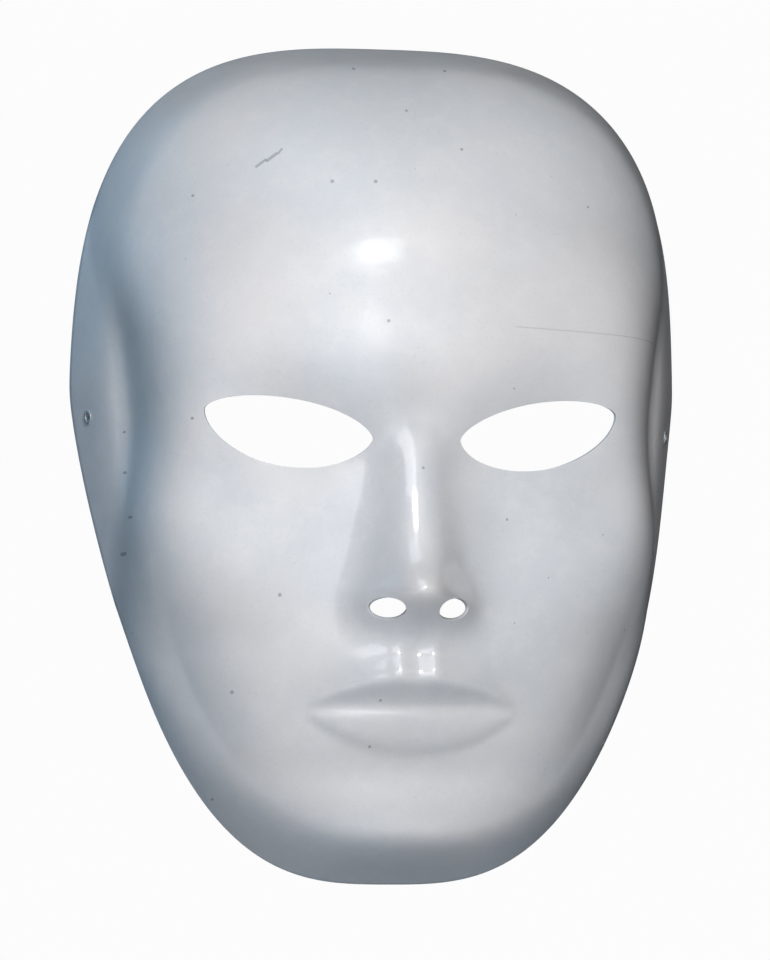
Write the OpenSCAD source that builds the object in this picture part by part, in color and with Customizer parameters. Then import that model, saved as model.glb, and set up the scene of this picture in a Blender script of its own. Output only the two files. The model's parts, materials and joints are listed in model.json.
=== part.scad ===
// Blank full-face mask: one thin thermoformed shell with an eyelet in each cord hole.
// Upright as worn: +Z up, the face towards -Y, +X to the viewer's right.
// The origin lies midway between the two cord holes, in the plane where the wearer's head begins.

/* [Overall size] */
// Half of the width across the widest part of the rim
rim_half_w = 90; // [74:0.5:108]
// Height of the top edge over the cord holes
top_h = 111.5; // [92:0.5:134]
// Depth of the chin edge under the cord holes
chin_h = 133; // [111:0.5:160]
// How far the plain face stands forward of the origin
face_d = 49.5; // [41:0.5:60]
// How far the forehead swells forward of the plain face
forehead_swell = 11; // [8:0.5:15]
// Thickness of the plastic sheet
sheet_t = 1; // [0.8:0.05:1.5]

/* [Rim] */
// Height of the widest place over the cord holes
widest_z = 12; // [5:0.5:20]
// Squareness of the outline, where 2 is an ellipse
squareness = 3; // [2.4:0.1:4]
// Narrowing of the outline from its widest place to the top
taper_top = 0.04; // [0:0.01:0.1]
// Narrowing of the outline from its widest place to the chin
taper_chin = 0.25; // [0.1:0.01:0.35]
// How far the rim reaches back at the cord holes
tab_back = 6.5; // [3:0.5:10]
// Half height of the stretch of rim that reaches back there
tab_h = 45; // [30:1:60]
// How far the rim of the jaw stands forward of the rim of the forehead
jaw_rim_d = 11.5; // [6:0.5:15]
// Width of the flange that carries a cord hole
flange_w = 12; // [9:0.5:15]
// Half height of that flange
flange_h = 39; // [30:1:48]

/* [Eye openings] */
// Distance from the middle of the face to an eye opening's centre
eye_x = 36; // [34:0.2:42]
// Height of an eye opening's centre over the cord holes
eye_z = -4.4; // [-12:0.2:2]
// Length of an eye opening, corner to corner
eye_w = 47.6; // [36:0.2:52]
// Height of the opening above the line through its corners
eye_up = 7; // [5:0.1:11]
// Depth of the opening below the line through its corners
eye_down = 11.7; // [6:0.1:14]
// Slope of the line through the corners, outer end up
eye_tilt = 10.5; // [0:0.5:15]

/* [Nose] */
// Height of the tip over the cord holes
tip_z = -51.5; // [-58:0.5:-44]
// Height of the bridge's root over the cord holes
root_z = 3; // [-3:0.5:10]
// How far the ridge stands forward of the flanks at the tip
nose_d = 12; // [9:0.2:15]
// How far the flanks stand forward of the cheeks
flank_d = 4.5; // [3:0.1:6]
// Distance from the middle of the nose to the middle of a nostril wing
wing_x = 12.8; // [11:0.2:16]
// Distance from the middle of the nose to a nostril opening's centre
nostril_x = 9.6; // [8:0.1:11]
// Half length of a nostril opening
nostril_rx = 4.8; // [3.5:0.1:6]
// Half height of a nostril opening
nostril_rz = 2.9; // [2.5:0.1:4]

/* [Mouth and chin] */
// Height of the line between the lips over the cord holes
mouth_z = -84.2; // [-90:0.2:-76]
// Half width of the mouth
mouth_half_w = 30.5; // [24:0.2:34]
// Height of the upper lip
upper_lip_h = 6.2; // [4:0.2:9]
// Height of the lower lip
lower_lip_h = 13; // [8:0.2:15]
// How far the chin stands forward of the jaw
chin_d = 13; // [9:0.5:16]

/* [Cord holes] */
// Radius of the cord hole through an eyelet
bore_r = 1.1; // [0.8:0.05:1.4]
// Thickness of an eyelet's barrel
barrel_t = 0.3; // [0.2:0.05:0.5]
// Radius of the flange of an eyelet
eyelet_r = 2.1; // [1.9:0.05:3]
// Distance from the rim's edge in to a cord hole's centre
hole_inset = 3.3; // [3:0.1:6]
// Height of the hole at the viewer's left
left_hole_z = 1.5; // [-3:0.1:3]
// Height of the hole at the viewer's right
right_hole_z = -1.5; // [-3:0.1:3]

/* [Hidden] */

// Facets across the sheet and up it
COLUMNS = 42;
ROWS = 60;
// How much closer the columns stand at the nose and at the rim
COLUMN_CROWDING = 0.4;
// Points round half of an eye opening and round a nostril opening
LID_POINTS = 18;
NOSTRIL_POINTS = 24;
$fn = 48;

// Play between an eyelet's barrel and its hole, and between a flange and its seat
FIT_GAP = 0.05;
// How deep an eyelet's flange and its washer press into the sheet
SEAT_SINK = 0.12;
EYELET_FLANGE_T = 0.4;
WASHER_T = 0.3;
WASHER_RIM = 0.35;
CLENCH_R = 0.45;

SHEET_COLOUR = [0.86, 0.87, 0.89];
EYELET_COLOUR = [0.78, 0.80, 0.82];

// ---- Curves that the surface is made of ----

// A smooth hill of height 1 at (x0, z0)
function bump(x, z, x0, z0, rx, rz) = exp(-pow((x - x0) / rx, 2) - pow((z - z0) / rz, 2));

// The same hill on both sides of the face
function twin(x, z, x0, z0, rx, rz) = bump(x, z, x0, z0, rx, rz) + bump(x, z, -x0, z0, rx, rz);

// A smooth rise from 0 at a to 1 at b
function rise(a, b, v) = let (t = min(1, max(0, (v - a) / (b - a)))) t * t * (3 - 2 * t);

// The larger of two heights, with the corner between them rounded by k
function soft_max(p, q, k) = (p + q + sqrt(pow(p - q, 2) + k * k)) / 2;

// A quarter of a superellipse, from 1 in the middle to 0 at s = 1
function dome_profile(s, power, cut) =
    let (
        here = pow(max(0, 1 - pow(cut * s, power)), 1 / power),
        edge = pow(1 - pow(cut, power), 1 / power)
    )
    (here - edge) / (1 - edge);

// ---- Outline: t runs from -1 at the chin to 1 at the top ----

function height_of(t) = widest_z + t * (t > 0 ? top_h - widest_z : widest_z + chin_h);
function t_of(z) = (z - widest_z) / (z > widest_z ? top_h - widest_z : widest_z + chin_h);
WAIST_SOFTNESS = 0.05;
function half_width(t) =
    let (taper = t > 0 ? taper_top : taper_chin)
    rim_half_w * (1 - taper * (sqrt(t * t + pow(WAIST_SOFTNESS, 2)) - WAIST_SOFTNESS));

// 0 at the middle of the face and 1 on the rim
function reach(a, t) = pow(pow(abs(a), squareness) + pow(abs(t), squareness), 1 / squareness);

// ---- The plain form: a dome on a rim, with a flange for each cord hole ----

FLANGE_Z = 6;
FLANGE_RISE = 30;
FLANGE_SLOPE = 2.8;
FLANGE_BLEND = 7;

// How boxy the dome is, where 2 is an ellipse: up to the top, down to the chin, and across
// the forehead, the eyes and the jaw. A cut just under 1 leaves the side short of upright.
TOP_POWER = 3.7;
TOP_CUT = 0.91;
CHIN_POWER = 8;
CHIN_CUT = 0.963;
FOREHEAD_POWER = 2.6;
EYES_POWER = 8.5;
JAW_POWER = 2;
SIDE_CUT = 0.987;

function side_power(z) =
    let (eyes = rise(60, 10, z), jaw = rise(-20, -70, z))
    FOREHEAD_POWER * (1 - eyes) + EYES_POWER * eyes * (1 - jaw) + JAW_POWER * jaw;

function rim_depth(z) =
    jaw_rim_d * rise(0, -0.6, t_of(z)) - tab_back * exp(-pow((z - FLANGE_Z) / tab_h, 2));

function plain_depth(x, z) =
    let (
        t = t_of(z),
        w = half_width(t),
        a = x / w,
        s = reach(a, t),
        flange = flange_w * exp(-pow((z - FLANGE_Z) / flange_h, 2)),
        dome_s = reach(x / (w - flange), t),
        share = a * a / (a * a + t * t + 1e-9),
        end = t > 0 ? dome_profile(dome_s, TOP_POWER, TOP_CUT) : dome_profile(dome_s, CHIN_POWER, CHIN_CUT),
        swell = share * dome_profile(dome_s, side_power(z), SIDE_CUT) + (1 - share) * end,
        rim = rim_depth(z),
        dome = rim + (face_d - rim) * swell,
        brim = rim + FLANGE_RISE * (1 - exp(-FLANGE_SLOPE * w * (1 - s) / FLANGE_RISE))
    )
    soft_max(dome, brim, FLANGE_BLEND) - FLANGE_BLEND / 2 * rise(0.9, 1, s);

// ---- The features of the face ----

BRIDGE_HALF_W = 5.8;
TIP_HALF_W = 12;
UNDER_NOSE = 18;

function nose_depth(x, z) =
    let (
        down = min(1, max(0, (root_z - z) / (root_z - tip_z))),
        under = 1 - rise(tip_z - 0.5, tip_z - UNDER_NOSE, z),
        half_w = BRIDGE_HALF_W + (TIP_HALF_W - BRIDGE_HALF_W) * down,
        ridge = nose_d * pow(down, 1.6) * exp(-pow(abs(x) / half_w, 2.6)),
        flank_z = rise(root_z + 9, root_z - 23, z) * (1 - rise(tip_z + 5.5, tip_z - 20, z)),
        flank = flank_d * flank_z * exp(-pow(abs(x) / (16.7 + 4.3 * down), 3)),
        tip = 4 * bump(x, z, 0, tip_z, 8, 6.5),
        wing = 2.5 * twin(x, z, wing_x, tip_z - 4.5, 5.5, 6)
    )
    ridge * under + flank + tip + wing;

function lip_depth(x, z) =
    let (
        t = min(1, abs(x) / mouth_half_w),
        line = mouth_z - t * t / 2,
        fade = 1 - pow(t, 4),
        up = (z - line) / (upper_lip_h * pow(1 - t * t, 0.75) + 0.25),
        down = min(1, (line - z) / (lower_lip_h * pow(1 - t * t, 0.8) + 0.25))
    )
    z >= line
        ? fade * 1.7 * pow(up, 2.3) * exp(-pow(max(0, up - 0.8) / 0.75, 2))
        : fade * 1.4 * max(0, 1 - pow(abs(2 * pow(down, 0.85) - 1), 2.6));

// The hollow along the jaw: a long hill turned to run down and inwards
JAW_HOLLOW_TURN = 33;
function jaw_hollow(x, z) =
    let (
        from_x = abs(x) - 74,
        from_z = z + 76,
        across = from_x * cos(JAW_HOLLOW_TURN) - from_z * sin(JAW_HOLLOW_TURN),
        along = from_x * sin(JAW_HOLLOW_TURN) + from_z * cos(JAW_HOLLOW_TURN)
    )
    exp(-pow(across / 15, 2) - pow(along / 34, 2));

function feature_depth(x, z) =
    forehead_swell * bump(x, z, 0, 39, 59, 43)
    + 4.8 * twin(x, z, 20, eye_z + 12.5, 27, 17)
    - 1.5 * bump(x, z, 0, eye_z + 2.5, 9, 9)
    - 3.4 * twin(x, z, eye_x + 5, eye_z, 18, 15.5)
    - 2 * twin(x, z, 14, eye_z - 9.5, 9, 10)
    - 3.8 * twin(x, z, 58, eye_z - 18.5, 14.5, 13)
    - 8.3 * jaw_hollow(x, z)
    + 7 * bump(x, z, 0, mouth_z + 11.2, 27, 11.5)
    - 2.1 * bump(x, z, 0, mouth_z - 17.8, 40, 7.7)
    + chin_d * bump(x, z, 0, mouth_z - 46.8, 38, 11)
    - 0.8 * bump(x, z, 0, mouth_z + 13.2, 3, 7)
    + 0.6 * twin(x, z, 5.5, mouth_z + 13.2, 2.6, 7);

// How far the outer surface stands forward of the origin
function depth(x, z) =
    let (s = reach(x / half_width(t_of(z)), t_of(z)))
    plain_depth(x, z)
    + (1 - rise(0.88, 0.99, s)) * feature_depth(x, z)
    + nose_depth(x, z)
    + lip_depth(x, z);

NUDGE = 0.05;
function surface_point(x, z) = [x, -depth(x, z), z];
function surface_normal(x, z) =
    let (
        slope_x = (depth(x + NUDGE, z) - depth(x - NUDGE, z)) / (2 * NUDGE),
        slope_z = (depth(x, z + NUDGE) - depth(x, z - NUDGE)) / (2 * NUDGE),
        n = [-slope_x, -1, -slope_z]
    )
    n / norm(n);

// ---- The grid of facets: a square stretched over the rounded outline ----

function column_u(i) = let (s = 2 * i / COLUMNS - 1) s - COLUMN_CROWDING * sin(360 * s) / (2 * PI);

// Rows stand closer over the mouth and nose, and at both ends
function row_height(j) =
    let (s = (j + 0.5) / ROWS)
    1 - 0.55 * exp(-pow((s - 0.34) / 0.19, 2)) - 0.6 * exp(-pow(s / 0.05, 2))
    - 0.6 * exp(-pow((1 - s) / 0.05, 2));
row_ends = [for (j = 0, z = 0; j <= ROWS; z = z + row_height(j), j = j + 1) z];
function row_v(j) = 2 * row_ends[j] / row_ends[ROWS] - 1;

function squeeze(p, q) = p * pow(1 - pow(abs(q), squareness) / 2, 1 / squareness);
function grid_xz(i, j) =
    let (
        u = column_u(i),
        v = row_v(j),
        t = squeeze(v, u)
    )
    [squeeze(u, v) * half_width(t), height_of(t)];

function sheet_points(back) = [
    for (j = [0:ROWS], i = [0:COLUMNS])
        let (p = grid_xz(i, j)) surface_point(p[0], p[1]) - back * surface_normal(p[0], p[1])
];

// The grid points round the rim, once round
function rim_loop() = concat(
    [for (i = [0:COLUMNS - 1]) i],
    [for (j = [0:ROWS - 1]) j * (COLUMNS + 1) + COLUMNS],
    [for (i = [COLUMNS:-1:1]) ROWS * (COLUMNS + 1) + i],
    [for (j = [ROWS:-1:1]) j * (COLUMNS + 1)]
);

module sheet() {
    across = COLUMNS + 1;
    back = across * (ROWS + 1);
    loop = rim_loop();
    last = len(loop);
    front_faces = [
        for (j = [0:ROWS - 1], i = [0:COLUMNS - 1])
            let (k = j * across + i)
            each [[k, k + across, k + across + 1], [k, k + across + 1, k + 1]]
    ];
    back_faces = [for (f = front_faces) [f[2] + back, f[1] + back, f[0] + back]];
    rim_faces = [
        for (k = [0:last - 1])
            let (a = loop[k], b = loop[(k + 1) % last])
            each [[a, b, b + back], [a, b + back, a + back]]
    ];
    polyhedron(concat(sheet_points(0), sheet_points(sheet_t)), concat(front_faces, back_faces, rim_faces));
}

// ---- Openings ----

// An eye opening: two lid curves over a line through the corners, the outer end raised
function lid(s, high) = high * pow(max(0, 1 - s * s), 0.6);
function eye_outline() = concat(
    [for (k = [0:LID_POINTS]) let (s = -cos(180 * k / LID_POINTS)) [s * eye_w / 2, lid(s, eye_up)]],
    [for (k = [1:LID_POINTS - 1]) let (s = cos(180 * k / LID_POINTS)) [s * eye_w / 2, -lid(s, eye_down)]]
);

NOSTRIL_TILT = 10;
CUT_DEPTH = 120;

// Lays an outline drawn in x and z as a cutter that runs straight through the sheet
module front_cutter() {
    rotate([90, 0, 0]) linear_extrude(CUT_DEPTH) children();
}

module eye_cutter() {
    front_cutter() translate([eye_x, eye_z]) rotate(eye_tilt) polygon(eye_outline());
}

module nostril_cutter() {
    front_cutter() translate([nostril_x, tip_z - 5.1]) rotate(NOSTRIL_TILT) polygon([
        for (k = [0:NOSTRIL_POINTS - 1])
            let (turn = 360 * k / NOSTRIL_POINTS)
            [nostril_rx * cos(turn), nostril_rz * sin(turn)]
    ]);
}

// ---- Cord holes and eyelets, each drawn along +Z and set on the surface's own normal ----

SEAT_Z = -SEAT_SINK;
BACK_SEAT_Z = -sheet_t + SEAT_SINK;
BARREL_R = bore_r + barrel_t;
CLENCH_TOP = BACK_SEAT_Z - WASHER_T - 2 * FIT_GAP;
CLENCH_T = 0.35;

// side is -1 for the viewer's left and 1 for the right
module on_hole(side, z) {
    x = side * (half_width(t_of(z)) * pow(1 - pow(abs(t_of(z)), squareness), 1 / squareness) - hole_inset);
    n = surface_normal(x, z);
    translate(surface_point(x, z)) rotate([0, acos(n[2]), atan2(n[1], n[0])]) children();
}

module hole_cutter() {
    cylinder(h = 4 * sheet_t, r = BARREL_R + FIT_GAP, center = true);
    translate([0, 0, SEAT_Z]) cylinder(h = sheet_t, r = eyelet_r + FIT_GAP);
    translate([0, 0, BACK_SEAT_Z - sheet_t]) cylinder(h = sheet_t, r = eyelet_r + WASHER_RIM + FIT_GAP);
}

// A barrel with a domed flange in front and its clenched end behind the washer
module eyelet() {
    flange_z = SEAT_Z + FIT_GAP;
    rotate_extrude() polygon([
        [bore_r, CLENCH_TOP - CLENCH_T],
        [BARREL_R + CLENCH_R - 0.12, CLENCH_TOP - CLENCH_T],
        [BARREL_R + CLENCH_R, CLENCH_TOP - CLENCH_T + 0.12],
        [BARREL_R + CLENCH_R, CLENCH_TOP],
        [BARREL_R, CLENCH_TOP],
        [BARREL_R, flange_z],
        [eyelet_r, flange_z],
        [eyelet_r, flange_z + 0.15],
        [eyelet_r - 0.2, flange_z + EYELET_FLANGE_T],
        [bore_r, flange_z + EYELET_FLANGE_T]
    ]);
}

module washer() {
    rotate_extrude()
        translate([BARREL_R + FIT_GAP, BACK_SEAT_Z - FIT_GAP - WASHER_T])
            square([eyelet_r + WASHER_RIM - BARREL_R - FIT_GAP, WASHER_T]);
}

// ---- The pieces ----

module face_shell() {
    color(SHEET_COLOUR) difference() {
        sheet();
        for (side = [0, 1]) mirror([side, 0, 0]) {
            eye_cutter();
            nostril_cutter();
        }
        on_hole(-1, left_hole_z) hole_cutter();
        on_hole(1, right_hole_z) hole_cutter();
    }
}

module left_eyelet() {
    color(EYELET_COLOUR) on_hole(-1, left_hole_z) eyelet();
}

module right_eyelet() {
    color(EYELET_COLOUR) on_hole(1, right_hole_z) eyelet();
}

module left_eyelet_washer() {
    color(EYELET_COLOUR) on_hole(-1, left_hole_z) washer();
}

module right_eyelet_washer() {
    color(EYELET_COLOUR) on_hole(1, right_hole_z) washer();
}

face_shell();
left_eyelet();
right_eyelet();
left_eyelet_washer();
right_eyelet_washer();
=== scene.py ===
# %% [markdown]
# # A blank full-face mask
#
# The object is one thin sheet of off-white plastic, pressed over a face-shaped
# mould and trimmed, with a small eyelet in the cord hole at each side. The CAD
# model gives the frame: +Z is up, the face looks along -Y, and the origin lies
# midway between the cord holes. This lesson forms the sheet again in finer
# facets, turns the eyelets, gives both their finish, and lights them softly.

# %% Load the frame
import json
import math

import bmesh
import bpy
import numpy as np
from mathutils import Matrix, Vector


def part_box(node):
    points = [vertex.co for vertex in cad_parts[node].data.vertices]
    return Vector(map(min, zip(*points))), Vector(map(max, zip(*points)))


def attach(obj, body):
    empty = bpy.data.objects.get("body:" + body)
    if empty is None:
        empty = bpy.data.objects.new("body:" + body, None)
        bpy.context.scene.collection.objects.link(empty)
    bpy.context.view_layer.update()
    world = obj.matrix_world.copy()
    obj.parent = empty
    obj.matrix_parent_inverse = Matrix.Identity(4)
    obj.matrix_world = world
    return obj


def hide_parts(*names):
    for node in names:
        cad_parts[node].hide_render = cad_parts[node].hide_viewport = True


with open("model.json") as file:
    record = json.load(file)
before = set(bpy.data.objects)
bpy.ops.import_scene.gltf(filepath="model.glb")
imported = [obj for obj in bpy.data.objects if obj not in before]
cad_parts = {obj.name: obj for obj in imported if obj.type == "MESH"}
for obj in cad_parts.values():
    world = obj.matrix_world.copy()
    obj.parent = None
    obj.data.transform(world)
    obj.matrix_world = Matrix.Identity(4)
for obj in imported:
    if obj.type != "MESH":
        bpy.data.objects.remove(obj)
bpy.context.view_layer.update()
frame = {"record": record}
MM = 0.001

# %% [markdown]
# ## The sizes that the sheet is formed from
#
# The outline comes from the CAD shell's own box, so the fine sheet and the CAD
# sheet can't disagree about how big the mask is. The heights and depths of the
# features are written in millimetres, measured from the cord holes.

# %% Sizes
shell_low, shell_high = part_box("face_shell")
RIM_HALF_W = (shell_high.x - shell_low.x) / 2 / MM
TOP_H = shell_high.z / MM
CHIN_H = -shell_low.z / MM
SHEET_T = 1.0
FACE_D, FOREHEAD_SWELL = 49.5, 11
WIDEST_Z = 12
SQUARENESS = 3
TAPER_TOP, TAPER_CHIN = 0.04, 0.25

EYE_X, EYE_Z, EYE_W = 36, -4.4, 47.6
EYE_UP, EYE_DOWN, EYE_TILT = 7, 11.7, math.radians(10.5)
TIP_Z, ROOT_Z = -51.5, 3
NOSE_D, FLANK_D, WING_X = 12, 4.5, 12.8
NOSTRIL_X, NOSTRIL_Z = 9.6, TIP_Z - 5.1
NOSTRIL_RX, NOSTRIL_RZ, NOSTRIL_TILT = 4.8, 2.9, math.radians(10)
MOUTH_Z, MOUTH_HALF_W = -84.2, 30.5
UPPER_LIP_H, LOWER_LIP_H = 6.2, 13
CHIN_D = 13
print(f"outline {2 * RIM_HALF_W:.1f} x {TOP_H + CHIN_H:.1f} mm")

# %% [markdown]
# ## A small kit of curves
#
# A face like this has no edges to draw, only hills and hollows, so it is built
# as one height over every place (x, z). A hill is a bell curve, `rise` is a
# smooth step, and `soft_max` lays one form over another with a rounded corner
# between them. Everything else is made of these three.

# %% Hills, steps and blends
def hill(x, z, x0, z0, rx, rz):
    return np.exp(-((x - x0) / rx) ** 2 - ((z - z0) / rz) ** 2)


def twin_hill(x, z, x0, z0, rx, rz):
    return hill(x, z, x0, z0, rx, rz) + hill(x, z, -x0, z0, rx, rz)


def rise(start, end, value):
    t = np.clip((value - start) / (end - start), 0, 1)
    return t * t * (3 - 2 * t)


def soft_max(p, q, corner):
    return (p + q + np.sqrt((p - q) ** 2 + corner**2)) / 2


# %% [markdown]
# ## The outline and the plain dome
#
# Seen from the front the rim is a rounded square that narrows to the chin: a
# superellipse whose half width changes with height. `reach` is 0 in the middle
# of the face and 1 on the rim. The dome falls away to the rim on a second
# superellipse, so the front stays broad and the sides are steep. Round each
# cord hole the rim runs out into a flat flange, and the dome stops short of it.

# %% Outline
def height_of(t):
    return WIDEST_Z + t * np.where(t > 0, TOP_H - WIDEST_Z, WIDEST_Z + CHIN_H)


def t_of(z):
    return (z - WIDEST_Z) / np.where(z > WIDEST_Z, TOP_H - WIDEST_Z, WIDEST_Z + CHIN_H)


WAIST_SOFTNESS = 0.05


def half_width(t):
    taper = np.where(t > 0, TAPER_TOP, TAPER_CHIN)
    return RIM_HALF_W * (1 - taper * (np.sqrt(t * t + WAIST_SOFTNESS**2) - WAIST_SOFTNESS))


def reach(a, t):
    return (np.abs(a) ** SQUARENESS + np.abs(t) ** SQUARENESS) ** (1 / SQUARENESS)


# %% Dome, rim and flange
FLANGE_W, FLANGE_Z, FLANGE_H = 12, 6, 39
FLANGE_RISE, FLANGE_SLOPE, FLANGE_BLEND = 30, 2.8, 7
TAB_BACK, TAB_H, JAW_RIM_D = 6.5, 45, 11.5
TOP_POWER, TOP_CUT = 3.7, 0.91
CHIN_POWER, CHIN_CUT = 8, 0.963
FOREHEAD_POWER, EYES_POWER, JAW_POWER, SIDE_CUT = 2.6, 8.5, 2, 0.987
FOREHEAD_ENDS_Z, EYES_BEGIN_Z, EYES_END_Z, JAW_BEGINS_Z = 60, 10, -20, -70


def dome_profile(s, power, cut):
    here = np.clip(1 - (cut * s) ** power, 0, 1) ** (1 / power)
    edge = (1 - cut**power) ** (1 / power)
    return (here - edge) / (1 - edge)


def side_power(z):
    eyes, jaw = rise(FOREHEAD_ENDS_Z, EYES_BEGIN_Z, z), rise(EYES_END_Z, JAW_BEGINS_Z, z)
    return FOREHEAD_POWER * (1 - eyes) + EYES_POWER * eyes * (1 - jaw) + JAW_POWER * jaw


def rim_depth(z):
    return JAW_RIM_D * rise(0, -0.6, t_of(z)) - TAB_BACK * np.exp(-(((z - FLANGE_Z) / TAB_H) ** 2))


def plain_depth(x, z):
    t = t_of(z)
    w = half_width(t)
    a = x / w
    s = reach(a, t)
    flange = FLANGE_W * np.exp(-(((z - FLANGE_Z) / FLANGE_H) ** 2))
    dome_s = reach(x / (w - flange), t)
    side_share = a * a / (a * a + t * t + 1e-9)
    top = dome_profile(dome_s, TOP_POWER, TOP_CUT)
    chin = dome_profile(dome_s, CHIN_POWER, CHIN_CUT)
    side = dome_profile(dome_s, side_power(z), SIDE_CUT)
    swell = side_share * side + (1 - side_share) * np.where(t > 0, top, chin)
    rim = rim_depth(z)
    dome = rim + (FACE_D - rim) * swell
    brim = rim + FLANGE_RISE * (1 - np.exp(-FLANGE_SLOPE * w * (1 - s) / FLANGE_RISE))
    return soft_max(dome, brim, FLANGE_BLEND) - FLANGE_BLEND / 2 * rise(0.9, 1, s)


# %% [markdown]
# ## The features
#
# The nose is a ridge that rises from its root to the tip and drops away under
# it, with soft flanks and two wings. The mouth is a line with a lip curve on
# each side. Brow, eye sockets, cheekbones, cheek hollows, muzzle and chin are
# single hills, a few millimetres high, that fade out before the rim.

# %% Nose and lips
BRIDGE_HALF_W, TIP_HALF_W, UNDER_NOSE = 5.8, 12, 18


def nose_depth(x, z):
    down = np.clip((ROOT_Z - z) / (ROOT_Z - TIP_Z), 0, 1)
    under = 1 - rise(TIP_Z - 0.5, TIP_Z - UNDER_NOSE, z)
    ridge_half_w = BRIDGE_HALF_W + (TIP_HALF_W - BRIDGE_HALF_W) * down
    ridge = NOSE_D * down**1.6 * np.exp(-((np.abs(x) / ridge_half_w) ** 2.6))
    flank_z = rise(ROOT_Z + 9, ROOT_Z - 23, z) * (1 - rise(TIP_Z + 5.5, TIP_Z - 20, z))
    flank = FLANK_D * flank_z * np.exp(-((np.abs(x) / (16.7 + 4.3 * down)) ** 3))
    tip = 4 * hill(x, z, 0, TIP_Z, 8, 6.5)
    wing = 2.5 * twin_hill(x, z, WING_X, TIP_Z - 4.5, 5.5, 6)
    return ridge * under + flank + tip + wing


def lip_depth(x, z):
    t = np.clip(np.abs(x) / MOUTH_HALF_W, 0, 1)
    line = MOUTH_Z - t * t / 2
    fade = 1 - t**4
    up = np.clip((z - line) / (UPPER_LIP_H * (1 - t * t) ** 0.75 + 0.25), 0, 9)
    down = np.clip((line - z) / (LOWER_LIP_H * (1 - t * t) ** 0.8 + 0.25), 0, 1)
    upper = 1.7 * up**2.3 * np.exp(-((np.clip(up - 0.8, 0, 9) / 0.75) ** 2))
    lower = 1.4 * np.clip(1 - np.abs(2 * down**0.85 - 1) ** 2.6, 0, 1)
    return fade * np.where(z >= line, upper, lower)


# %% Brow, sockets, cheeks and chin
JAW_HOLLOW_X, JAW_HOLLOW_Z, JAW_HOLLOW_TURN = 74, -76, math.radians(33)
JAW_HOLLOW_W, JAW_HOLLOW_H, JAW_HOLLOW_D = 15, 34, 8.3


def jaw_hollow(x, z):
    from_x, from_z = np.abs(x) - JAW_HOLLOW_X, z - JAW_HOLLOW_Z
    across = from_x * math.cos(JAW_HOLLOW_TURN) - from_z * math.sin(JAW_HOLLOW_TURN)
    along = from_x * math.sin(JAW_HOLLOW_TURN) + from_z * math.cos(JAW_HOLLOW_TURN)
    return np.exp(-((across / JAW_HOLLOW_W) ** 2) - (along / JAW_HOLLOW_H) ** 2)


def feature_depth(x, z):
    forehead = FOREHEAD_SWELL * hill(x, z, 0, 39, 59, 43)
    brow = 4.8 * twin_hill(x, z, 20, EYE_Z + 12.5, 27, 17) - 1.5 * hill(x, z, 0, EYE_Z + 2.5, 9, 9)
    socket = 3.4 * twin_hill(x, z, EYE_X + 5, EYE_Z, 18, 15.5)
    inner_corner = 2 * twin_hill(x, z, 14, EYE_Z - 9.5, 9, 10)
    cheek = 3.8 * twin_hill(x, z, 58, EYE_Z - 18.5, 14.5, 13) + JAW_HOLLOW_D * jaw_hollow(x, z)
    muzzle = 7 * hill(x, z, 0, MOUTH_Z + 11.2, 27, 11.5)
    chin = CHIN_D * hill(x, z, 0, MOUTH_Z - 46.8, 38, 11) - 2.1 * hill(x, z, 0, MOUTH_Z - 17.8, 40, 7.7)
    groove = 0.8 * hill(x, z, 0, MOUTH_Z + 13.2, 3, 7) - 0.6 * twin_hill(x, z, 5.5, MOUTH_Z + 13.2, 2.6, 7)
    return forehead + brow - socket - inner_corner - cheek + muzzle + chin - groove


def depth(x, z):
    t = t_of(z)
    inside = 1 - rise(0.88, 0.99, reach(x / half_width(t), t))
    return plain_depth(x, z) + inside * feature_depth(x, z) + nose_depth(x, z) + lip_depth(x, z)


print(f"tip of the nose {float(depth(np.array(0.0), np.array(TIP_Z))):.1f} mm forward of the origin")

# %% [markdown]
# ## The sheet laid flat, with its openings
#
# On the real mask the sheet is pressed over the mould first and the openings
# are punched after. Here the order is turned round: the flat sheet is a grid,
# its openings are cut while it is still flat, and then every point is moved to
# the mould's height. A grid stretched from a square to the rounded outline has
# no pole in it, so reflections run across it without a pinch. The rows and
# columns stand closer where the form turns fast: nose, mouth and steep sides.

# %% Grid places
COLUMNS, ROWS = 188, 226


def spaced(count, step_size):
    """Places from -1 to 1 whose steps grow and shrink with step_size(s)."""
    middle = (np.arange(count) + 0.5) / count * 2 - 1
    ends = np.concatenate([[0], np.cumsum(step_size(middle))])
    return 2 * ends / ends[-1] - 1


def column_step(s):
    return 1 - 0.55 * np.exp(-((s / 0.4) ** 2)) - 0.65 * np.exp(-(((np.abs(s) - 0.93) / 0.28) ** 2))


def row_step(s):
    return 1 - 0.5 * np.exp(-(((s + 0.32) / 0.36) ** 2)) - 0.6 * np.exp(-(((np.abs(s) - 1) / 0.15) ** 2))


def squeeze(p, q):
    return p * (1 - np.abs(q) ** SQUARENESS / 2) ** (1 / SQUARENESS)


def outline_place(u, v):
    """The place (x, z) in the outline of a place in the square."""
    t = squeeze(v, u)
    return squeeze(u, v) * half_width(t), height_of(t)


# %% A grid in the shape of the outline
def deselect_all():
    if bpy.context.object and bpy.context.object.mode != "OBJECT":
        bpy.ops.object.mode_set(mode="OBJECT")
    bpy.ops.object.select_all(action="DESELECT")


def points_of(mesh):
    co = np.empty(len(mesh.vertices) * 3)
    mesh.vertices.foreach_get("co", co)
    return co.reshape(-1, 3)


def set_points(mesh, points):
    mesh.vertices.foreach_set("co", np.ascontiguousarray(points).ravel())
    mesh.update()


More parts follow.
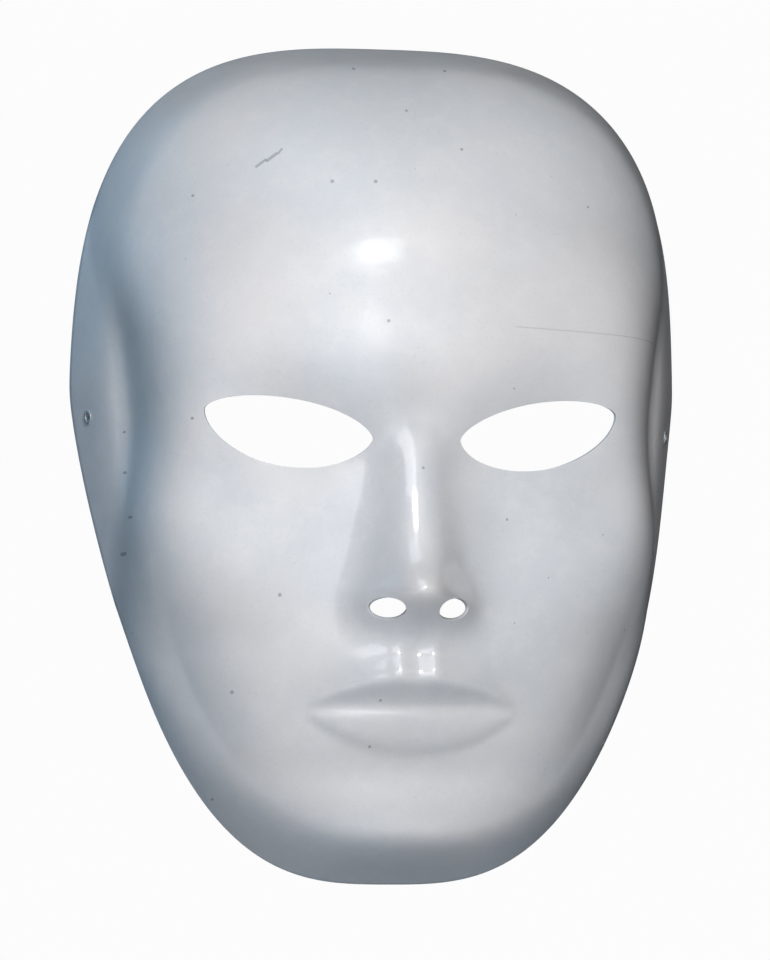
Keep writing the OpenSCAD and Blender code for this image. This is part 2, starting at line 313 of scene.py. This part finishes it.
deselect_all()
bpy.ops.mesh.primitive_grid_add(x_subdivisions=COLUMNS, y_subdivisions=ROWS, size=2)
shell = bpy.context.object
shell.name = "formed_sheet"
square = points_of(shell.data)
column_place = spaced(COLUMNS, column_step)
row_place = spaced(ROWS, row_step)
column = np.rint((square[:, 0] + 1) / 2 * COLUMNS).astype(int)
row = np.rint((square[:, 1] + 1) / 2 * ROWS).astype(int)
flat_x, flat_z = outline_place(column_place[column], row_place[row])
set_points(shell.data, np.stack([flat_x, np.zeros(len(flat_x)), flat_z], axis=1) * MM)
print(f"flat sheet: {len(shell.data.polygons)} cells")

# %% [markdown]
# ## The cord holes' own axes
#
# The record's mounts say where each cord hole is and which way it points. A
# frame of three axes on each hole turns "across the hole" and "through the
# sheet" into plain numbers, for the hole, its pressed seat and its eyelet.

# %% Hole frames
class HoleFrame:
    """A cord hole's centre and its axes: two across the sheet and one out of it."""

    def __init__(self, mount):
        self.centre = np.array(mount["pos_m"]) / MM
        self.out = np.array(mount["axis"])
        self.across = np.cross([0, 0, 1], self.out)
        self.across /= np.linalg.norm(self.across)
        self.up = np.cross(self.out, self.across)

    def matrix(self):
        axes = np.stack([self.across, self.up, self.out], axis=1)
        turned = Matrix([list(line) for line in axes]).to_4x4()
        return Matrix.Translation(Vector(self.centre * MM)) @ turned

    def circle(self, radius, count):
        turn = np.arange(count) * 2 * np.pi / count
        spokes = np.outer(np.cos(turn), self.across) + np.outer(np.sin(turn), self.up)
        return self.centre + radius * spokes


mounts = {m["name"]: m for m in frame["record"]["mounts"]}
HOLES = {side: HoleFrame(mounts[side + "_cord_hole"]) for side in ("left", "right")}
BORE_R = mounts["left_cord_hole"]["dims"]["r_mm"]
BARREL_T, CLEARANCE = 0.3, 0.05
BARREL_R = BORE_R + BARREL_T
HOLE_R = BARREL_R + CLEARANCE
for side, hole in HOLES.items():
    print(side, "cord hole at", np.round(hole.centre, 1), "pointing", np.round(hole.out, 2))

# %% [markdown]
# ## Outlines of the openings
#
# An eye opening is two lid curves over a line through its corners. A nostril
# opening is a tilted oval. Each opening gets a collar of four rings that follow
# its edge, so the cut stays crisp and the facets next to it lie along it.

# %% Opening outlines
def lid(s, high):
    return high * np.clip(1 - s * s, 0, 1) ** 0.6


def placed(points, tilt, x, z, side):
    turn = np.array([[np.cos(tilt), -np.sin(tilt)], [np.sin(tilt), np.cos(tilt)]])
    return (points @ turn.T + [x, z]) * [side, 1]


def eye_outline(side, count=60):
    s = -np.cos(np.pi * np.arange(count + 1) / count)
    top = np.stack([s, lid(s, EYE_UP)], axis=1)
    bottom = np.stack([-s, -lid(-s, EYE_DOWN)], axis=1)[1:-1]
    return placed(np.concatenate([top, bottom]) * [EYE_W / 2, 1], EYE_TILT, EYE_X, EYE_Z, side)


def nostril_outline(side, count=64):
    turn = 2 * np.pi * np.arange(count) / count
    oval = np.stack([NOSTRIL_RX * np.cos(turn), NOSTRIL_RZ * np.sin(turn)], axis=1)
    return placed(oval, NOSTRIL_TILT, NOSTRIL_X, NOSTRIL_Z, side)


def grown(outline, distance):
    """The outline moved outwards by a distance, point by point."""
    ahead = np.roll(outline, -1, axis=0) - np.roll(outline, 1, axis=0)
    outwards = np.stack([ahead[:, 1], -ahead[:, 0]], axis=1)
    outwards /= np.linalg.norm(outwards, axis=1, keepdims=True)
    after = np.roll(outline, -1, axis=0)
    turned = np.sum(after[:, 1] * outline[:, 0] - after[:, 0] * outline[:, 1])
    return outline + outwards * distance * np.sign(turned)


COLLAR = (0, 0.3, 0.8, 1.5)
CORD_COLLAR = (0, 0.25, 0.7, 1.3)
COLLAR_ROOM = 0.9
collars = []
for side in (-1, 1):
    collars.append([grown(eye_outline(side), d) for d in COLLAR])
    collars.append([grown(nostril_outline(side), d) for d in COLLAR])
for hole in HOLES.values():
    collars.append([hole.circle(HOLE_R + d, 40)[:, (0, 2)] for d in CORD_COLLAR])
print(f"{len(collars)} openings")


# %% [markdown]
# ## Cutting the openings
#
# Points of the grid in and near an opening are deleted, the collar's rings are
# put in the gap, and `mesh.fill` closes the strip between the outermost ring
# and the grid with triangles. Doing this while the sheet is flat keeps the fill
# in one plane, where it can't fold over.

# %% Cut and collar
def inside_outline(points, outline):
    x, z = points[:, 0][:, None], points[:, 1][:, None]
    ax, az = outline[:, 0], outline[:, 1]
    bx, bz = np.roll(ax, -1), np.roll(az, -1)
    crosses = ((az > z) != (bz > z)) & (x < (bx - ax) * (z - az) / (bz - az + 1e-12) + ax)
    return crosses.sum(axis=1) % 2 == 1


def gap_to_outline(points, outline):
    start, along = outline, np.roll(outline, -1, axis=0) - outline
    offset = points[:, None] - start
    share = np.clip((offset * along).sum(2) / (along**2).sum(1), 0, 1)
    return np.linalg.norm(offset - share[..., None] * along, axis=2).min(axis=1)


def cut_opening(obj, rings):
    outer = rings[-1]
    points = points_of(obj.data)[:, (0, 2)] / MM
    near = np.all(np.abs(points - outer.mean(axis=0)) < np.ptp(outer, axis=0) / 2 + 3, axis=1)
    gone = np.zeros(len(points), bool)
    gone[near] = inside_outline(points[near], outer) | (gap_to_outline(points[near], outer) < COLLAR_ROOM)
    mesh = bmesh.new()
    mesh.from_mesh(obj.data)
    mesh.verts.ensure_lookup_table()
    rim = {e for e in mesh.edges if e.is_boundary}
    bmesh.ops.delete(mesh, geom=[mesh.verts[i] for i in np.nonzero(gone)[0]], context="VERTS")
    rim = {e for e in rim if e.is_valid}
    grid_edge = [e for e in mesh.edges if e.is_boundary and e not in rim]
    loops = [[mesh.verts.new((x * MM, 0, z * MM)) for x, z in ring] for ring in rings]
    for inner, outer_loop in zip(loops, loops[1:]):
        for k in range(len(inner)):
            n = (k + 1) % len(inner)
            mesh.faces.new((inner[k], inner[n], outer_loop[n], outer_loop[k]))
    last = loops[-1]
    ring_edge = [mesh.edges.get((last[k], last[k - 1])) for k in range(len(last))]
    bmesh.ops.triangle_fill(mesh, edges=grid_edge + ring_edge, use_beauty=True, use_dissolve=False)
    mesh.to_mesh(obj.data)
    mesh.free()


for rings in collars:
    cut_opening(shell, rings)
print(f"after cutting: {len(shell.data.polygons)} faces")

# %% [markdown]
# ## Pressing the sheet over the mould
#
# Every point keeps its x and z and takes the mould's height. At the cord holes
# the clenched eyelet squeezes a small flat seat into the sheet, so the points
# round each hole are drawn to a plane square to the hole's axis.

# %% Form and seats
SEAT_SINK = 0.12
SEAT_R, SEAT_FADE_R, SEAT_REACH = 2.55, 3.7, 4


def press_seat(points, hole, level):
    """Draws the points near a hole to a plane `level` millimetres along its axis."""
    offset = points - hole.centre
    height = offset @ hole.out
    radius = np.linalg.norm(offset - np.outer(height, hole.out), axis=1)
    pressed = (1 - rise(SEAT_R, SEAT_FADE_R, radius)) * (np.abs(height) < SEAT_REACH)
    return points + np.outer((level - height) * pressed, hole.out)


formed = points_of(shell.data) / MM
formed[:, 1] = -depth(formed[:, 0], formed[:, 2])
for hole in HOLES.values():
    formed = press_seat(formed, hole, -SEAT_SINK)
set_points(shell.data, formed * MM)

deselect_all()
shell.select_set(True)
bpy.context.view_layer.objects.active = shell
bpy.ops.object.mode_set(mode="EDIT")
bpy.ops.mesh.select_all(action="SELECT")
bpy.ops.mesh.normals_make_consistent(inside=False)
bpy.ops.object.mode_set(mode="OBJECT")
facing = np.array([p.normal.y * p.area for p in shell.data.polygons]).sum()
if facing > 0:
    shell.data.flip_normals()
print("formed, depth range in mm:", np.round([formed[:, 1].min(), formed[:, 1].max()], 1))

# %% [markdown]
# ## Thickness, cut edges and smooth shading
#
# Solidify gives the sheet its back and the walls of its openings. A sheet drawn
# over a mould is rounder behind than in front, so the back is smoothed a little.
# Then a narrow bevel breaks the sharp cut edges, as a trimming knife leaves them.

# %% Thickness
BACK_SMOOTHINGS = 3
front_count = len(shell.data.vertices)
solidify = shell.modifiers.new("thickness", "SOLIDIFY")
solidify.thickness = SHEET_T * MM
solidify.offset = -1
solidify.use_even_offset = True
solidify.use_quality_normals = True
bpy.ops.object.modifier_apply(modifier=solidify.name)
both = points_of(shell.data) / MM
back = both[front_count:]
for hole in HOLES.values():
    back = press_seat(back, hole, SEAT_SINK - SHEET_T)
both[front_count:] = back
set_points(shell.data, both * MM)

edge_mesh = bmesh.new()
edge_mesh.from_mesh(shell.data)
edge_mesh.verts.ensure_lookup_table()
cut_edge_points = {v for f in edge_mesh.faces for v in f.verts
                   if len({w.index < front_count for w in f.verts}) == 2}
soft = [v for v in edge_mesh.verts[front_count:] if v not in cut_edge_points]
for _ in range(BACK_SMOOTHINGS):
    bmesh.ops.smooth_vert(
        edge_mesh, verts=soft, factor=0.5, use_axis_x=True, use_axis_y=True, use_axis_z=True)
edge_mesh.to_mesh(shell.data)
edge_mesh.free()

# %% Cut edges
CUT_EDGE_ROUND = 0.18
bevel = shell.modifiers.new("cut_edges", "BEVEL")
bevel.width = CUT_EDGE_ROUND * MM
bevel.segments = 2
bevel.limit_method = "ANGLE"
bevel.angle_limit = math.radians(55)
bpy.ops.object.modifier_apply(modifier=bevel.name)
bpy.ops.object.shade_smooth_by_angle(angle=math.radians(60))
triangles = sum(len(p.vertices) - 2 for p in shell.data.polygons)
print(f"sheet with thickness and edges: {triangles} triangles")
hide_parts("face_shell")
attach(shell, "root")

# %% [markdown]
# ## The eyelets
#
# An eyelet is a short thin tube with a rolled flange in front. Its other end is
# clenched outwards over a washer behind the sheet. Both are turned parts, so a
# half section is drawn as a wire and spun once round the hole's axis.

# %% Turning a half section
TURN_STEPS = 64


def arc(centre_r, centre_h, radius, start, end, count=7):
    """Points (radius, height) on an arc, angles in degrees."""
    turn = np.radians(np.linspace(start, end, count))
    return [(centre_r + radius * np.cos(a), centre_h + radius * np.sin(a)) for a in turn]


def turned_ring(name, section, hole):
    """A closed half section spun round a hole's axis."""
    wire = bpy.data.meshes.new(name)
    corners = [(radius * MM, 0, height * MM) for radius, height in section]
    wire.from_pydata(corners, [(k, (k + 1) % len(corners)) for k in range(len(corners))], [])
    ring = bpy.data.objects.new(name, wire)
    bpy.context.scene.collection.objects.link(ring)
    deselect_all()
    ring.select_set(True)
    bpy.context.view_layer.objects.active = ring
    bpy.ops.object.mode_set(mode="EDIT")
    bpy.ops.mesh.select_all(action="SELECT")
    bpy.ops.mesh.spin(steps=TURN_STEPS, angle=2 * math.pi, center=(0, 0, 0), axis=(0, 0, 1))
    bpy.ops.mesh.select_all(action="SELECT")
    bpy.ops.mesh.remove_doubles(threshold=0.001 * MM)
    bpy.ops.mesh.normals_make_consistent(inside=False)
    bpy.ops.object.mode_set(mode="OBJECT")
    ring.data.transform(hole.matrix())
    bpy.ops.object.shade_smooth_by_angle(angle=math.radians(50))
    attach(ring, "root")
    return ring


# %% Eyelets and washers
EYELET_R, FLANGE_T, WASHER_T, WASHER_R, CLENCH_R = 2.1, 0.38, 0.3, 2.45, 1.85
CLENCH_T, CLENCH_IN_R, CLENCH_OUT_R = 0.38, 0.16, 0.17
WASHER_BACK_ROUND, WASHER_FRONT_ROUND = 0.12, 0.06
FRONT_SEAT = CLEARANCE - SEAT_SINK
BACK_SEAT = SEAT_SINK - SHEET_T - CLEARANCE
WASHER_BACK = BACK_SEAT - WASHER_T
CLENCH_BACK = WASHER_BACK - CLENCH_T
roll = FLANGE_T / 2
eyelet_section = (
    arc(EYELET_R - roll, FRONT_SEAT + roll, roll, -80, 90)
    + arc(BORE_R + roll, FRONT_SEAT + roll, roll, 90, 180)
    + [(BORE_R, (FRONT_SEAT + CLENCH_BACK) / 2)]
    + arc(BORE_R + CLENCH_IN_R, CLENCH_BACK + CLENCH_IN_R, CLENCH_IN_R, 180, 270)
    + arc(CLENCH_R - CLENCH_OUT_R, CLENCH_BACK + CLENCH_OUT_R, CLENCH_OUT_R, -90, 80)
    + [(BARREL_R, WASHER_BACK - 0.03), (BARREL_R, FRONT_SEAT)]
)
washer_section = (
    [(BARREL_R + CLEARANCE, BACK_SEAT), (BARREL_R + CLEARANCE, WASHER_BACK)]
    + arc(WASHER_R - WASHER_BACK_ROUND, WASHER_BACK + WASHER_BACK_ROUND, WASHER_BACK_ROUND, -90, 0, 4)
    + arc(WASHER_R - WASHER_FRONT_ROUND, BACK_SEAT - WASHER_FRONT_ROUND, WASHER_FRONT_ROUND, 0, 90, 3)
)
eyelets = []
for side, hole in HOLES.items():
    for name, section, node in (
        ("turned_eyelet", eyelet_section, "eyelet"),
        ("stamped_washer", washer_section, "eyelet_washer"),
    ):
        piece = turned_ring(f"{side}_{name}", section, hole)
        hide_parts(f"{side}_{node}")
        eyelets.append(piece)
print("eyelet triangles:", [sum(len(p.vertices) - 2 for p in e.data.polygons) for e in eyelets])

# %% [markdown]
# ## Finishes
#
# The sheet is a milky white plastic with a gloss that handling has dulled. A
# `Finish` holds one material and gives short names to the nodes that are used
# over and over. All patterns read object coordinates, so they stay on the
# surface from every side.

# %% Node helpers
class Finish:
    """A material with a few short ways to add nodes."""

    def __init__(self, name):
        self.material = bpy.data.materials.new(name)
        self.material.use_nodes = True
        self.tree = self.material.node_tree
        self.shader = self.tree.nodes["Principled BSDF"]
        self.place = self.tree.nodes.new("ShaderNodeTexCoord").outputs["Object"]

    def link(self, value, socket):
        if hasattr(value, "is_linked"):
            self.tree.links.new(value, socket)
        else:
            socket.default_value = value

    def noise(self, scale, detail=3, roughness=0.55):
        node = self.tree.nodes.new("ShaderNodeTexNoise")
        self.link(self.place, node.inputs["Vector"])
        node.inputs["Scale"].default_value = scale
        node.inputs["Detail"].default_value = detail
        node.inputs["Roughness"].default_value = roughness
        return node.outputs["Fac"]

    def spread(self, value, low, high, to_low=0.0, to_high=1.0):
        node = self.tree.nodes.new("ShaderNodeMapRange")
        node.interpolation_type = "SMOOTHSTEP"
        for socket, number in zip(node.inputs[1:5], (low, high, to_low, to_high)):
            socket.default_value = number
        self.link(value, node.inputs["Value"])
        return node.outputs["Result"]

    def math(self, operation, a, b=0.0):
        node = self.tree.nodes.new("ShaderNodeMath")
        node.operation = operation
        for value, socket in zip((a, b), node.inputs):
            self.link(value, socket)
        return node.outputs["Value"]

    def mix(self, share, first, second):
        node = self.tree.nodes.new("ShaderNodeMix")
        node.data_type = "RGBA"
        self.link(share, node.inputs[0])
        self.link(first, node.inputs[6])
        self.link(second, node.inputs[7])
        return node.outputs[2]

    def bump(self, height, distance, under=None):
        node = self.tree.nodes.new("ShaderNodeBump")
        node.inputs["Distance"].default_value = distance
        node.inputs["Strength"].default_value = 1.0
        self.link(height, node.inputs["Height"])
        if under is not None:
            self.link(under, node.inputs["Normal"])
        return node.outputs["Normal"]

    def set(self, **values):
        for name, value in values.items():
            self.link(value, self.shader.inputs[name.replace("_", " ")])

    def on(self, *pieces):
        for piece in pieces:
            piece.data.materials.clear()
            piece.data.materials.append(self.material)


# %% [markdown]
# ## Marks on the sheet
#
# A scratch is a straight stroke, found from how far each place lies along it and
# across it. The specks use the cells of a Voronoi pattern: a cell's random
# colour decides whether it holds a speck and how big the speck is.

# %% Strokes and specks
def front_place(finish):
    """The place on the mask as seen from straight in front, in metres."""
    split = finish.tree.nodes.new("ShaderNodeSeparateXYZ")
    finish.link(finish.place, split.inputs[0])
    return split.outputs["X"], split.outputs["Z"]


def stroke(finish, start, end, half_w, soft):
    """1 on a straight stroke between two places given in millimetres, 0 away from it."""
    x, z = front_place(finish)
    (x0, z0), (x1, z1) = start, end
    length = math.hypot(x1 - x0, z1 - z0)
    ux, uz = (x1 - x0) / length, (z1 - z0) / length
    along = finish.math("ADD", finish.math("MULTIPLY", x, ux), finish.math("MULTIPLY", z, uz))
    along = finish.math("SUBTRACT", along, (x0 * ux + z0 * uz) * MM)
    across = finish.math("SUBTRACT", finish.math("MULTIPLY", z, ux), finish.math("MULTIPLY", x, uz))
    across = finish.math("SUBTRACT", across, (z0 * ux - x0 * uz) * MM)
    from_middle = finish.math("ABSOLUTE", finish.math("SUBTRACT", along, length / 2 * MM))
    over = finish.math("SUBTRACT", from_middle, length / 2 * MM)
    gap = finish.math("MAXIMUM", finish.math("ABSOLUTE", across), over)
    return finish.spread(gap, half_w * MM, (half_w + soft) * MM, 1.0, 0.0)


def sparse_specks(finish, cell, radius, share):
    """Round specks, one in some of the cells of a grid, seen from in front."""
    x, z = front_place(finish)
    flat = finish.tree.nodes.new("ShaderNodeCombineXYZ")
    finish.link(x, flat.inputs["X"])
    finish.link(z, flat.inputs["Y"])
    cells = finish.tree.nodes.new("ShaderNodeTexVoronoi")
    cells.voronoi_dimensions = "2D"
    cells.inputs["Scale"].default_value = 1 / (cell * MM)
    finish.link(flat.outputs[0], cells.inputs["Vector"])
    pick = finish.tree.nodes.new("ShaderNodeSeparateXYZ")
    finish.link(cells.outputs["Color"], pick.inputs[0])
    chosen = finish.math("LESS_THAN", pick.outputs["X"], share)
    size = finish.math("MULTIPLY", pick.outputs["Y"], radius / cell)
    return finish.math("MULTIPLY", chosen, finish.math("LESS_THAN", cells.outputs["Distance"], size))


# %% [markdown]
# ## The white sheet
#
# The colour wanders between cool and warm white, with paler blotches and a fine
# grey grain. Three layers of bump lie on one another: a slow wave, a mild peel
# and the grain. The middle of the face below the brow, which is the nose, the
# groove under it and the lips, has a thicker clear gloss.

# %% Marks, colours and polish
# Start and end as (x, z), then half the width, all in millimetres.
SCRATCHES = (
    ((-44, 69.5), (-41.5, 71.4), 0.22),
    ((-41, 71.2), (-38.4, 73.2), 0.3),
    ((-37.8, 73.4), (-36.8, 74.6), 0.16),
)
HAIRLINE = ((28, 23.6), (74, 22.4), 0.09)
SCRATCH_SOFT, HAIRLINE_SOFT = 0.25, 0.15
SCRATCH_DARK, HAIRLINE_DARK, SPECK_DARK = 0.4, 0.18, 0.45
SPECK_CELL, SPECK_R, SPECK_SHARE = 13, 0.55, 0.3
COOL_WHITE, WARM_WHITE = (0.76, 0.775, 0.80, 1), (0.81, 0.795, 0.80, 1)
PALE_BLOTCH, GREY_GRAIN, DIRT = (0.87, 0.86, 0.855, 1), (0.5, 0.53, 0.58, 1), (0.2, 0.2, 0.22, 1)
WAVE_H, PEEL_H, GRAIN_H = 0.12, 0.05, 0.012
POLISH_FULL_X, POLISH_END_X = 9, 32
POLISH_FULL_Z, POLISH_END_Z = -2, 12
DULL_COAT, POLISHED_COAT, COAT_ROUGHNESS = 0.06, 0.9, 0.09


def sheet_colour(finish, grain, blotch):
    tint = finish.spread(finish.noise(16, 2), 0.35, 0.65)
    colour = finish.mix(tint, COOL_WHITE, WARM_WHITE)
    colour = finish.mix(finish.spread(blotch, 0.4, 0.75, 0, 0.3), colour, PALE_BLOTCH)
    return finish.mix(finish.spread(grain, 0.55, 0.8, 0, 0.16), colour, GREY_GRAIN)


def marked(finish, colour):
    """The colour with the scratches, the hairline and the specks laid over it."""
    for start, end, half_w in SCRATCHES:
        scratch = stroke(finish, start, end, half_w, SCRATCH_SOFT)
        colour = finish.mix(finish.math("MULTIPLY", scratch, SCRATCH_DARK), colour, DIRT)
    hairline = stroke(finish, *HAIRLINE, HAIRLINE_SOFT)
    colour = finish.mix(finish.math("MULTIPLY", hairline, HAIRLINE_DARK), colour, DIRT)
    specks = sparse_specks(finish, SPECK_CELL, SPECK_R, SPECK_SHARE)
    return finish.mix(finish.math("MULTIPLY", specks, SPECK_DARK), colour, DIRT)


def polished_coat(finish):
    x, z = front_place(finish)
    middle = finish.spread(finish.math("ABSOLUTE", x), POLISH_FULL_X * MM, POLISH_END_X * MM, 1.0, 0.0)
    low = finish.spread(z, POLISH_FULL_Z * MM, POLISH_END_Z * MM, 1.0, 0.0)
    return finish.spread(finish.math("MULTIPLY", middle, low), 0, 1, DULL_COAT, POLISHED_COAT)


def white_sheet_finish():
    finish = Finish("milky_white_sheet")
    grain = finish.noise(1300, 2)
    blotch = finish.noise(150, 4, 0.65)
    dull = finish.spread(finish.noise(55, 4, 0.6), 0.3, 0.7, 0.34, 0.46)
    roughness = finish.math("ADD", dull, finish.spread(grain, 0.4, 0.7, 0, 0.05))
    wave = finish.bump(finish.noise(60, 1), WAVE_H * MM)
    peel = finish.bump(blotch, PEEL_H * MM, wave)
    fine = finish.bump(grain, GRAIN_H * MM, peel)
    coat_bump = finish.bump(blotch, GRAIN_H * MM)
    colour = marked(finish, sheet_colour(finish, grain, blotch))
    finish.set(Base_Color=colour, Roughness=roughness, Normal=fine, IOR=1.5)
    finish.set(Coat_Weight=polished_coat(finish), Coat_Roughness=COAT_ROUGHNESS, Coat_Normal=coat_bump)
    return finish


white_sheet_finish().on(shell)


# %% [markdown]
# ## The eyelets' enamel
#
# The eyelets and washers are thin metal under pale grey enamel, a little duller
# where it is worn.

# %% Enamel
def enamel_finish():
    finish = Finish("pale_enamel")
    worn = finish.spread(finish.noise(900, 3), 0.45, 0.75)
    colour = finish.mix(worn, (0.62, 0.66, 0.70, 1), (0.74, 0.76, 0.78, 1))
    finish.set(Base_Color=colour, Metallic=0.35, Roughness=finish.spread(worn, 0, 1, 0.22, 0.38))
    finish.set(Normal=finish.bump(finish.noise(2500, 2), 0.01 * MM))
    return finish


enamel_finish().on(*eyelets)
print("finishes:", [m.name for m in bpy.data.materials if m.users])

# %% [markdown]
# ## Floor, light and camera
#
# The mask hangs in the air as on a wearer, over a plain pale floor. A small key
# light above the face gives the crisp highlights. Three broad lights in front,
# above and below keep the rest soft, and a cool one behind the left shoulder
# lifts that side. Nothing stands at the right, so that side turns into shadow.

# %% Floor
FLOOR_Z = -0.33
deselect_all()
bpy.ops.mesh.primitive_plane_add(size=8, location=(0, 0, FLOOR_Z))
floor = bpy.context.object
floor.name = "studio_floor"
floor_finish = Finish("pale_floor")
floor_tone = floor_finish.mix(floor_finish.noise(3), (0.86, 0.86, 0.86, 1), (0.9, 0.9, 0.9, 1))
floor_finish.set(Base_Color=floor_tone, Roughness=0.7)
floor_finish.on(floor)


# %% Lights
def soft_light(name, azimuth, elevation, distance, size, power, colour):
    """A square soft light that looks at the mask. Azimuth 0 is in front, positive to the right."""
    a, e = math.radians(azimuth), math.radians(elevation)
    place = Vector((math.sin(a) * math.cos(e), -math.cos(a) * math.cos(e), math.sin(e))) * distance
    lamp = bpy.data.lights.new(name, "AREA")
    lamp.size = size
    lamp.energy = power
    lamp.color = colour
    obj = bpy.data.objects.new(name, lamp)
    obj.location = place
    obj.rotation_euler = (-place).to_track_quat("-Z", "Y").to_euler()
    obj.visible_camera = False
    bpy.context.scene.collection.objects.link(obj)


# Name, azimuth and elevation in degrees, distance and size in metres, watts, colour.
LIGHTS = (
    ("front_light", -10, 6, 1.5, 0.8, 6, (0.96, 0.96, 1)),
    ("key_light", 2, 24, 1.3, 0.22, 6.5, (1, 0.97, 0.92)),
    ("upper_light", -12, 50, 1.5, 0.9, 5.5, (0.86, 0.93, 1)),
    ("low_light", -4, -25, 1.5, 0.8, 5, (0.55, 0.78, 1)),
    ("left_light", -120, 28, 1.5, 1.2, 5, (0.3, 0.68, 1)),
)
for light in LIGHTS:
    soft_light(*light)
print(f"{len(LIGHTS)} lights")

# %% [markdown]
# ## The room
#
# The surroundings give almost no light of their own. The camera alone sees them
# as white paper. The display's gamma deepens the shaded edges.

# %% Room and display
world = bpy.data.worlds.new("studio")
bpy.context.scene.world = world
world.use_nodes = True
world_nodes = world.node_tree.nodes
room = world_nodes["Background"]
room.inputs["Color"].default_value = (0.62, 0.78, 1, 1)
room.inputs["Strength"].default_value = 0.006
paper = world_nodes.new("ShaderNodeBackground")
paper.inputs["Color"].default_value = (1, 1, 1, 1)
seen = world_nodes.new("ShaderNodeLightPath")
choose = world_nodes.new("ShaderNodeMixShader")
world.node_tree.links.new(seen.outputs["Is Camera Ray"], choose.inputs[0])
world.node_tree.links.new(room.outputs[0], choose.inputs[1])
world.node_tree.links.new(paper.outputs[0], choose.inputs[2])
world.node_tree.links.new(choose.outputs[0], world_nodes["World Output"].inputs["Surface"])
display = bpy.context.scene.view_settings
display.view_transform = "Standard"
display.gamma = 0.75
display.exposure = -0.03

# %% Camera
CAMERA_AZIMUTH, CAMERA_ELEVATION, CAMERA_DISTANCE = math.radians(-10.7), math.radians(-5), 1.6
VIEW_HEIGHT, VIEW_CENTRE_Z = 0.27984, -0.0115
SHIFT_RIGHT, SHIFT_UP = 0.0052, -0.0135
view_back = Vector((
    math.sin(CAMERA_AZIMUTH) * math.cos(CAMERA_ELEVATION),
    -math.cos(CAMERA_AZIMUTH) * math.cos(CAMERA_ELEVATION),
    math.sin(CAMERA_ELEVATION),
))
view_centre = Vector((0, 0, VIEW_CENTRE_Z))
lens = bpy.data.cameras.new("camera")
camera = bpy.data.objects.new("camera", lens)
bpy.context.scene.collection.objects.link(camera)
bpy.context.scene.camera = camera
camera.rotation_mode = "QUATERNION"
camera.location = view_centre + view_back * CAMERA_DISTANCE
camera.rotation_quaternion = (-view_back).to_track_quat("-Z", "Y")
lens.lens = lens.sensor_width * CAMERA_DISTANCE / VIEW_HEIGHT
lens.shift_x, lens.shift_y = SHIFT_RIGHT, SHIFT_UP
print(f"lens {lens.lens:.0f} mm")
